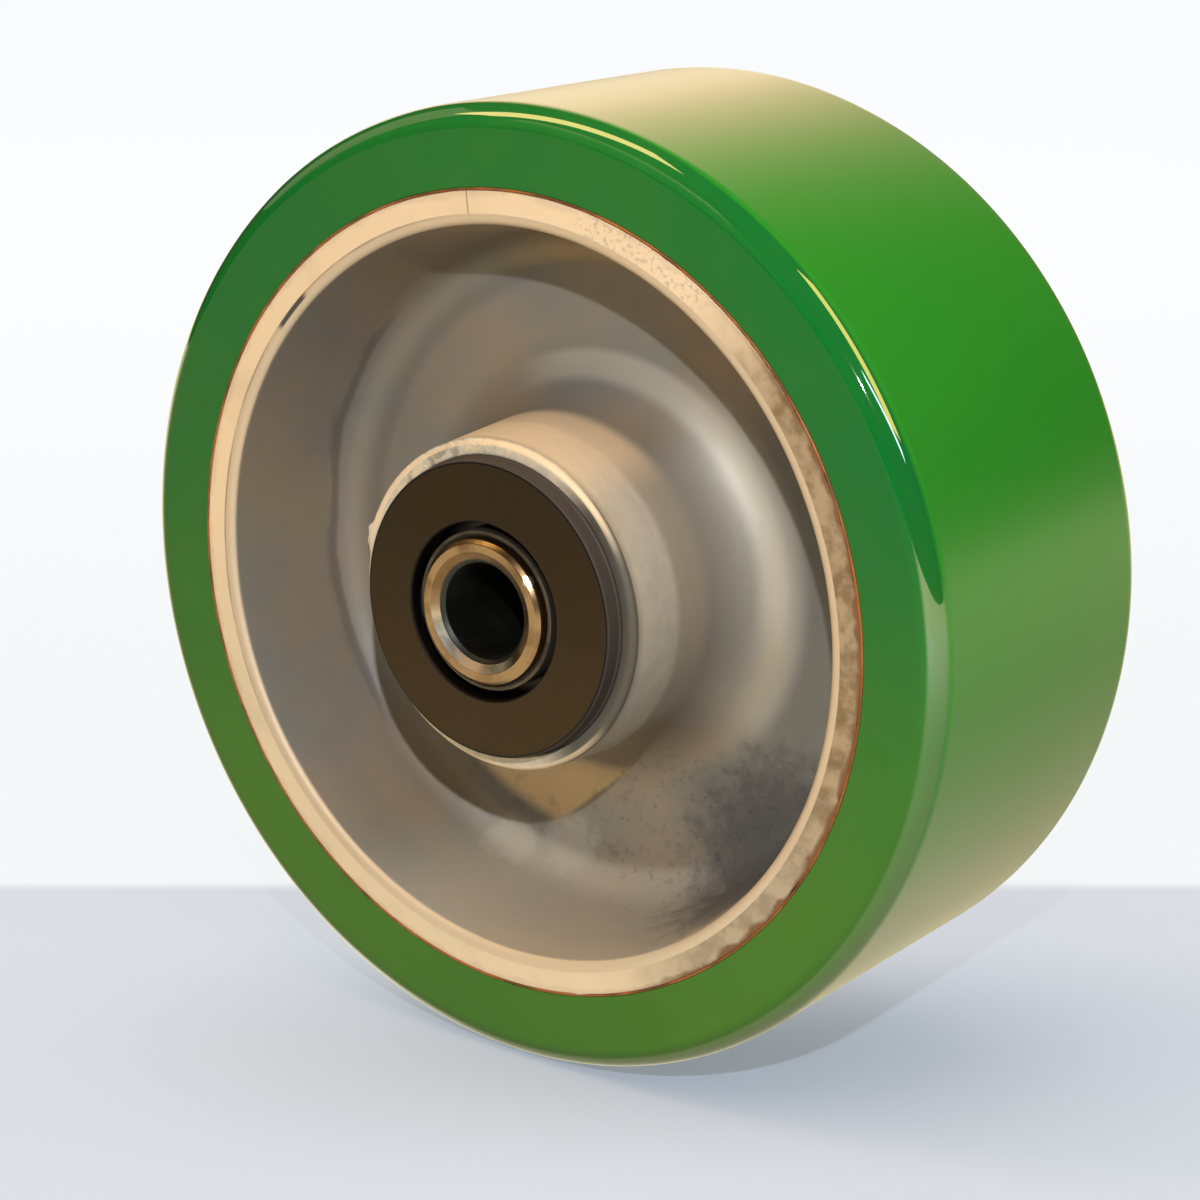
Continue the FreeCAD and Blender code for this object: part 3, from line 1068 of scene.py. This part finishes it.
    def turn(self, name: str, outline: Outline, finish: bpy.types.Material, segments: int,
             unevenness: float, waves: float, seed: float) -> bpy.types.Object:
        """Makes a plain mesh of a turned piece.

        Args:
            name: Name of the piece.
            outline: Its outline.
            finish: Its material.
            segments: Divisions round the axle.
            unevenness: Largest unevenness of its cast stretches, in millimetres.
            waves: Waves of the unevenness for each metre.
            seed: Seed of the unevenness.

        Returns:
            The piece's object.
        """
        chain = bpy.data.objects.new(f"{name}_outline", self.outline_mesh(name, outline))
        bpy.context.scene.collection.objects.link(chain)
        modifier = chain.modifiers.new("turned", "NODES")
        modifier.node_group = self.tree
        values = {"Segments": segments, "Unevenness": unevenness * MM, "Waves": waves,
                  "Seed": seed, "Finish": finish}
        for key, value in values.items():
            modifier[self.identifiers[key]] = value
        evaluated = chain.evaluated_get(bpy.context.evaluated_depsgraph_get())
        mesh = bpy.data.meshes.new_from_object(evaluated)
        mesh.name = name
        bpy.data.objects.remove(chain)
        outward(mesh)
        piece = bpy.data.objects.new(name, mesh)
        bpy.context.scene.collection.objects.link(piece)
        return piece


def outward(mesh: bpy.types.Mesh) -> None:
    """Turns every face outward.

    Args:
        mesh: Closed mesh to mend.
    """
    shell = bmesh.new()
    shell.from_mesh(mesh)
    bmesh.ops.recalc_face_normals(shell, faces=shell.faces)
    if shell.calc_volume(signed=True) < 0:
        bmesh.ops.reverse_faces(shell, faces=shell.faces)
    shell.to_mesh(mesh)
    shell.free()


@dataclass(frozen=True)
class Dent:
    """Local push on a piece's surface, by a point, a reach and a shift in millimetres."""

    radius: float
    turn: float
    place: float
    reach: float
    outward_shift: float
    axle_shift: float

    def shift(self, spots: np.ndarray) -> np.ndarray:
        """Moves of the vertices near the point.

        Args:
            spots: Positions of the vertices.

        Returns:
            Their moves.
        """
        centre = np.array(wheel_point(self.radius, self.turn, self.place))
        away = np.linalg.norm(spots - centre, axis=1) / (self.reach * MM)
        angle = math.radians(self.turn)
        push = np.array([math.sin(angle) * self.outward_shift, self.axle_shift,
                         math.cos(angle) * self.outward_shift]) * MM
        return np.exp(-away ** 2)[:, None] * push


@dataclass(frozen=True)
class RaggedLip:
    """Stretch of the boss's rounded edge that was left square and rough by the casting."""

    start: float = -80.0
    end: float = -4.0
    blend: float = 7.0
    inner: float = 31.6
    outer: float = 34.4
    place: float = -BOSS_HALF
    depth: float = 1.6
    roughness: float = 0.16
    seed: int = 7

    def shift(self, spots: np.ndarray) -> np.ndarray:
        """Moves that square and roughen the edge.

        Args:
            spots: Positions of the vertices.

        Returns:
            Their moves.
        """
        radius = np.hypot(spots[:, 0], spots[:, 2]) / MM
        turn = np.degrees(np.arctan2(spots[:, 0], spots[:, 2]))
        place = spots[:, 1] / MM
        window = np.clip((turn - self.start) / self.blend, 0, 1) * np.clip(
            (self.end - turn) / self.blend, 0, 1)
        near = (radius > self.inner) & (radius < self.outer) & (place < self.place + self.depth)
        rough = np.random.default_rng(self.seed).uniform(0, self.roughness, len(radius))
        moves = np.zeros_like(spots)
        moves[:, 1] = np.where(near, window, 0.0) * (self.place + rough - place) * MM
        return moves


@dataclass
class Workshop:
    """Shared tools and finishes that the sub-assemblies use."""

    form: TurnedForm = field(default_factory=TurnedForm)
    effects: SharedEffects = field(default_factory=SharedEffects)
    finishes: dict[str, bpy.types.Material] = field(default_factory=dict)

    def __post_init__(self) -> None:
        """Builds a finish for each material slot of the wheel."""
        for finish in (
                TurnedSteel("sleeve_steel", (0.27, 0.175, 0.10), (0.13, 0.07, 0.03), 0.26, 0.7,
                            shaded_bore=10.9, countersink=12.6, facet_glint=14.8),
                TurnedSteel("collar_steel", (0.12, 0.10, 0.08), (0.05, 0.04, 0.03), 0.66, 0.6),
                TurnedSteel("bearing_steel", (0.66, 0.66, 0.67), (0.40, 0.38, 0.36), 0.14, 0.3,
                            shaded_face_place=41.5),
                TurnedSteel("cage_steel", (0.52, 0.51, 0.49), (0.30, 0.27, 0.23), 0.36, 0.4),
                Polyurethane(), BondingAgent(), CastAluminium(), CoverPlastic(), SealRubber()):
            self.finishes[finish.name] = finish.build(self.effects)

    def make(self, name: str, node: str, body: str, slot: str, outline: Outline, segments: int,
             uneven: Unevenness = (0.0, 30.0, 0.0),
             changes: tuple[object, ...] = ()) -> None:
        """Makes a turned piece and puts it in the place of a CAD node.

        Args:
            name: Name of the piece.
            node: CAD node that it stands for.
            body: Body that it rides on.
            slot: Material slot of its finish.
            outline: Its outline.
            segments: Divisions round the axle.
            uneven: Largest unevenness in millimetres, its waves for each metre and its seed.
            changes: Local changes of its surface, in order.
        """
        piece = self.form.turn(name, outline, self.finishes[slot], segments, *uneven)
        spots = np.empty(len(piece.data.vertices) * 3)
        for change in changes:
            piece.data.vertices.foreach_get("co", spots)
            rows = spots.reshape(-1, 3)
            piece.data.vertices.foreach_set("co", (rows + change.shift(rows)).ravel())
            piece.data.update()
        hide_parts(node)
        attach(piece, body)
        LOG.info("%s: %d faces", piece.name, len(piece.data.polygons))

    def dress(self, node: bpy.types.Object, slot: str) -> None:
        """Gives a CAD node its finish.

        Args:
            node: The node's object.
            slot: Its material slot.
        """
        if not node.data.materials:
            node.data.materials.append(None)
        for index in range(len(node.material_slots)):
            node.material_slots[index].material = self.finishes[slot]


def node_reach(node: str) -> tuple[float, float]:
    """Outer radius and half width of a CAD node, in millimetres."""
    low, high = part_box(node)
    return high[0] / MM, (high[1] - low[1]) / 2 / MM


@dataclass
class Tread:
    """Moulded tread with rounded shoulders."""

    inner_radius: float = 83.4
    shoulder: float = 5.0
    lip: float = 0.35
    inset: float = 0.06
    segments: int = 512
    uneven: Unevenness = (0.20, 22.0, 3.0)

    def build(self, shop: Workshop) -> None:
        """Makes the tread and puts it in place.

        Args:
            shop: Shared tools and finishes.
        """
        radius, half = node_reach("tread")
        radius -= self.inset
        outline = Outline([
            Corner(self.inner_radius, -half, self.lip, Skin.CAST),
            Corner(radius, -half, self.shoulder, Skin.CAST, 0.6),
            Corner(radius, half, self.shoulder, Skin.CAST, 0.6),
            Corner(self.inner_radius, half, self.lip, Skin.MACHINED, 6.0)])
        shop.make("tread_moulding", "tread", "wheel", "polyurethane", outline, self.segments,
                  self.uneven)


@dataclass
class HubCasting:
    """Casting with rim, web and boss, machined on its faces and seats."""

    rim_face_width: float = 6.8
    face_width: float = 4.6
    lip_drop: float = 0.07
    lip_slope: float = 0.7
    rim_edge: float = 1.7
    draft: float = 8.0
    rim_root: float = 8.0
    half_web: float = 7.0
    boss_end: float = BOSS_RADIUS
    boss_draft: float = 4.0
    boss_edge: float = 1.6
    boss_root: float = 14.0
    seat: float = 31.0
    seat_floor: float = 25.5
    shoulder: float = 27.5
    rim_half: float = RIM_HALF
    front_step: float = 1.3
    rear_step: float = 2.6
    segments: int = 448
    uneven: Unevenness = (0.45, 34.0, 8.0)
    dents: tuple[Dent, ...] = (
        Dent(34.6, -71.0, -43.6, 1.1, 1.7, -0.1),
        Dent(34.6, -76.0, -43.6, 1.7, 0.9, -0.1),
        Dent(82.6, 64.0, -RIM_HALF, 1.3, -0.6, 0.5),
        Dent(82.9, 77.6, -RIM_HALF, 1.5, -0.7, 0.6),
        Dent(82.9, 70.5, -RIM_HALF, 1.0, -0.4, 0.5),
        Dent(82.8, 86.0, -RIM_HALF, 1.6, -0.4, 0.5),
        Dent(82.7, 96.6, -RIM_HALF, 1.1, -0.5, 0.4),
        Dent(82.9, 108.0, -RIM_HALF, 1.3, -0.4, 0.5),
        Dent(82.8, 124.0, -RIM_HALF, 1.8, -0.4, 0.4),
        Dent(82.4, 168.0, -RIM_HALF, 1.3, 0.1, -0.5))

    def corners(self, side: Side) -> list[Corner]:
        """Corners of one side, from the rim to the bore.

        Args:
            side: Side of the wheel.

        Returns:
            The corners.
        """
        rim, half_boss = node_reach("hub_casting")
        fine = self.front_step if side is Side.FRONT else self.rear_step
        edge = rim - self.rim_face_width
        lip = self.rim_half - self.lip_drop
        root = edge - (self.rim_half - self.half_web) * math.tan(math.radians(self.draft))
        boss_root = self.boss_end + (half_boss - self.half_web) * math.tan(
            math.radians(self.boss_draft))
        made = [
            Corner(rim, self.rim_half, 0.25, Skin.MACHINED, 0.9),
            Corner(rim - self.face_width, self.rim_half, 0.3, Skin.MACHINED, 1.0),
            Corner(rim - self.face_width - self.lip_slope, lip, 0.3, Skin.CAST, 0.6),
            Corner(edge, lip, self.rim_edge, Skin.CAST, fine),
            Corner(root, self.half_web, self.rim_root, Skin.CAST, fine),
            Corner(boss_root, self.half_web, self.boss_root, Skin.CAST, fine),
            Corner(self.boss_end, half_boss, self.boss_edge, Skin.CAST, 0.45),
            Corner(self.seat, half_boss, 0.5, Skin.MACHINED, 6.0),
            Corner(self.seat, self.seat_floor, 0.0, Skin.MACHINED, 3.0),
            Corner(self.shoulder, self.seat_floor, 0.0, Skin.MACHINED, 9.0)]
        return [corner.on(side) for corner in made]

    def build(self, shop: Workshop) -> None:
        """Makes the casting and puts it in place.

        Args:
            shop: Shared tools and finishes.
        """
        outline = Outline(self.corners(Side.FRONT) + self.corners(Side.REAR)[::-1])
        shop.make("hub_body", "hub_casting", "wheel", "cast_aluminium", outline, self.segments,
                  self.uneven, (RaggedLip(), *self.dents))


@dataclass
class BondLine:
    """Bonding agent between rim and tread, whose edge stands a hair proud."""

    inner_radius: float = 83.0
    outer_radius: float = 83.45
    stand_out: float = 0.08
    segments: int = 512
    uneven: Unevenness = (0.3, 120.0, 5.0)

    def build(self, shop: Workshop) -> None:
        """Makes the bond line and puts it in place.

        Args:
            shop: Shared tools and finishes.
        """
        _, half = node_reach("bond_coat")
        end = half + self.stand_out
        outline = Outline([
            Corner(self.inner_radius, -end, 0.0, Skin.CAST, 0.3),
            Corner(self.outer_radius, -end, 0.0, Skin.MACHINED, 20.0),
            Corner(self.outer_radius, end, 0.0, Skin.CAST, 0.3),
            Corner(self.inner_radius, end, 0.0, Skin.MACHINED, 20.0)])
        shop.make("bond_line", "bond_coat", "wheel", "bonding_agent", outline, self.segments,
                  self.uneven)


@dataclass
class HubEnd:
    """Dust cover and end collar on one side."""

    side: Side
    cover_radius: float = 30.6
    cover_seat: float = 31.0
    cover_step_place: float = BOSS_HALF
    cover_hole: float = 18.3
    cover_crown: float = 1.0
    cover_wall: float = 27.8
    cover_back: float = 45.4
    cover_edge: float = 0.6
    collar_radius: float = 16.5
    collar_bore: float = 15.0
    collar_chamfer: float = 0.8
    inner_face: float = 41.5
    face: float = 48.0
    segments: int = 256
    cover_uneven: Unevenness = (0.10, 60.0, 11.0)

    def outline(self, *corners: Corner) -> Outline:
        """Outline on this side, from corners whose places are measured outward."""
        return Outline([corner.on(self.side) for corner in corners])

    def build(self, shop: Workshop) -> None:
        """Makes the cover and the collar and puts them in place.

        Args:
            shop: Shared tools and finishes.
        """
        word = self.side.name.lower()
        cover = self.outline(
            Corner(self.cover_hole, self.cover_back + self.cover_crown),
            Corner(self.cover_hole, self.face + self.cover_crown, self.cover_edge),
            Corner(self.cover_radius, self.face, self.cover_edge, Skin.MACHINED, 1.0),
            Corner(self.cover_radius, self.cover_step_place),
            Corner(self.cover_seat, self.cover_step_place),
            Corner(self.cover_seat, self.inner_face),
            Corner(self.cover_wall, self.inner_face),
            Corner(self.cover_wall, self.cover_back))
        shop.make(f"{word}_cap", f"{word}_dust_cover", "wheel", "cover_plastic", cover,
                  self.segments, self.cover_uneven)
        chamfer = self.collar_chamfer
        collar = self.outline(
            Corner(self.collar_bore, self.inner_face, 0.0, Skin.MACHINED, 4.0),
            Corner(self.collar_radius, self.inner_face, 0.0, Skin.MACHINED, 2.0),
            Corner(self.collar_radius, self.face, 0.25, Skin.MACHINED, 1.0),
            Corner(self.collar_bore + chamfer, self.face, 0.1),
            Corner(self.collar_bore, self.face - chamfer))
        shop.make(f"{word}_collar", f"{word}_end_collar", "axle_set", "collar_steel", collar,
                  self.segments)


@dataclass
class AxleSleeve:
    """Sleeve that the axle passes through, with chamfered ends."""

    bore: float = 10.0
    bore_chamfer: float = 0.6
    countersink_width: float = 2.0
    countersink_depth: float = 1.2
    chamfer: float = 0.8
    segments: int = 192

    def build(self, shop: Workshop) -> None:
        """Makes the sleeve and puts it in place.

        Args:
            shop: Shared tools and finishes.
        """
        radius, half = node_reach("axle_sleeve")
        entry = self.bore + self.bore_chamfer
        floor = half - self.countersink_depth
        end = [
            Corner(self.bore, floor - self.bore_chamfer, 0.1, Skin.MACHINED, 1.0),
            Corner(entry, floor, 0.15, Skin.MACHINED, 0.6),
            Corner(entry + self.countersink_width, half, 0.2, Skin.MACHINED, 0.6),
            Corner(radius - self.chamfer, half, 0.35, Skin.MACHINED, 0.6),
            Corner(radius, half - self.chamfer, 0.3, Skin.MACHINED, 6.0)]
        corners = [corner.on(Side.FRONT) for corner in end] + end[::-1]
        shop.make("sleeve_tube", "axle_sleeve", "axle_set", "sleeve_steel", Outline(corners),
                  self.segments)


class BearingInnards:
    """CAD nodes inside the boss, which keep their meshes and get their finishes."""

    def build(self, shop: Workshop, frame: dict) -> None:
        """Dresses every CAD node; those that a turned piece replaces stay hidden.

        Args:
            shop: Shared tools and finishes.
            frame: The loaded frame.
        """
        slots = {row["node"]: row["material_slot"] for row in frame["record"]["subparts"]}
        for name, node in frame["nodes"].items():
            shop.dress(node, slots[name])
            LOG.info("%s: %s", name, slots[name])


def direction(azimuth: float, elevation: float) -> Vector:
    """Unit vector from the wheel, by degrees to the right of the front and above the level."""
    a, e = math.radians(azimuth), math.radians(elevation)
    return Vector((math.sin(a) * math.cos(e), -math.cos(a) * math.cos(e), math.sin(e)))


def put_looking(thing: bpy.types.Object, spot: Vector, back: Vector, roll: float = 0.0) -> None:
    """Puts a camera or lamp in the scene.

    Args:
        thing: Camera or lamp.
        spot: Where it stands, in metres.
        back: Unit vector opposite to its view.
        roll: Degrees that it is turned about its view.
    """
    thing.location = spot
    thing.rotation_mode = "QUATERNION"
    thing.rotation_quaternion = (-back).to_track_quat("-Z", "Y") @ Quaternion(
        (0.0, 0.0, 1.0), -math.radians(roll))
    bpy.context.scene.collection.objects.link(thing)


@dataclass
class PhotoCamera:
    """Camera at the photograph's viewing angle."""

    azimuth: float = VIEW_AZIMUTH
    elevation: float = 16.28
    distance: float = 654.3
    target: Point = (-6.97, 0.0, -10.2)
    focal_pixels: float = 3056.0
    image_pixels: float = 1200.0
    sensor: float = 36.0

    def build(self) -> None:
        """Makes the camera and hands it to the scene."""
        data = bpy.data.cameras.new("photo_camera")
        data.sensor_width = self.sensor
        data.lens = self.focal_pixels / self.image_pixels * self.sensor
        camera = bpy.data.objects.new("photo_camera", data)
        back = direction(self.azimuth, self.elevation)
        put_looking(camera, (Vector(self.target) + back * self.distance) * MM, back)
        bpy.context.scene.camera = camera


@dataclass(frozen=True)
class Softbox:
    """Area lamp that looks at the wheel, with sizes in metres, watts and degrees."""

    name: str
    azimuth: float
    elevation: float
    distance: float
    width: float
    height: float
    power: float
    colour: Colour
    roll: float = 0.0
    mirrored: bool = True

    def build(self) -> None:
        """Makes the lamp."""
        data = bpy.data.lights.new(self.name, "AREA")
        data.shape = "RECTANGLE"
        data.size, data.size_y = self.width, self.height
        data.energy = self.power
        data.color = self.colour
        lamp = bpy.data.objects.new(self.name, data)
        back = direction(self.azimuth, self.elevation)
        put_looking(lamp, back * self.distance, back, self.roll)
        lamp.visible_glossy = self.mirrored


@dataclass
class Studio:
    """Pale floor, soft lamps and a dim warm room round the wheel."""

    floor_radius: float = 3.0
    room: Colour = (1.0, 0.95, 0.60)
    room_strength: float = 0.03
    lamps: tuple[Softbox, ...] = (
        Softbox("key_lamp", 35.4, 27.9, 0.712, 0.012, 0.012, 3.5, (0.90, 0.94, 0.94)),
        Softbox("warm_lamp", 89.0, 46.0, 1.5, 0.42, 0.90, 3.9, (1.0, 0.74, 0.20), 14.0),
        Softbox("window_lamp", 71.0, 32.0, 1.4, 0.10, 0.50, 1.1, (0.70, 0.97, 1.0), -48.0),
        Softbox("left_lamp", -25.0, 22.0, 1.5, 0.8, 0.8, 1.3, (1.0, 0.68, 0.40)),
        Softbox("side_lamp", -80.0, 30.0, 1.5, 0.9, 0.9, 0.8, (1.0, 0.86, 0.55)),
        Softbox("front_lamp", 30.0, 64.0, 1.5, 1.0, 1.0, 10.5, (1.0, 0.72, 0.44), 0.0, False),
        Softbox("streak_lamp", -50.5, 58.6, 1.5, 0.38, 1.10, 4.6, (1.0, 0.70, 0.26), 19.0),
        Softbox("rear_lamp", 212.0, 62.0, 1.3, 1.1, 1.1, 3.2, (0.92, 0.96, 1.0), 0.0, False),
        Softbox("back_lamp", 219.0, 13.0, 1.5, 0.9, 0.4, 1.3, (1.0, 0.88, 0.68)))

    def build(self, shop: Workshop) -> None:
        """Makes the floor, the lamps and the room.

        Args:
            shop: Shared tools and finishes.
        """
        low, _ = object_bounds()
        mesh = bpy.data.meshes.new("floor")
        reach, level = self.floor_radius, low[2]
        mesh.from_pydata([(-reach, -reach, level), (reach, -reach, level),
                          (reach, reach, level), (-reach, reach, level)], [], [(0, 1, 2, 3)])
        mesh.materials.append(StudioPaper().build(shop.effects))
        floor = bpy.data.objects.new("floor", mesh)
        bpy.context.scene.collection.objects.link(floor)
        floor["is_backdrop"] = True
        for lamp in self.lamps:
            lamp.build()
        world = bpy.data.worlds.new("room")
        world.use_nodes = True
        background = world.node_tree.nodes["Background"]
        background.inputs["Color"].default_value = opaque(self.room)
        background.inputs["Strength"].default_value = self.room_strength
        bpy.context.scene.world = world
        bpy.context.scene.view_settings.view_transform = "Standard"


def main() -> None:
    """Builds the wheel and its studio, in order."""
    logging.basicConfig(level=logging.INFO, format="%(name)s: %(message)s")
    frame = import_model()
    PhotoCamera().build()
    shop = Workshop()
    Studio().build(shop)
    Tread().build(shop)
    BondLine().build(shop)
    HubCasting().build(shop)
    for side in Side:
        HubEnd(side).build(shop)
    AxleSleeve().build(shop)
    BearingInnards().build(shop, frame)


if __name__ == "__main__":
    main()
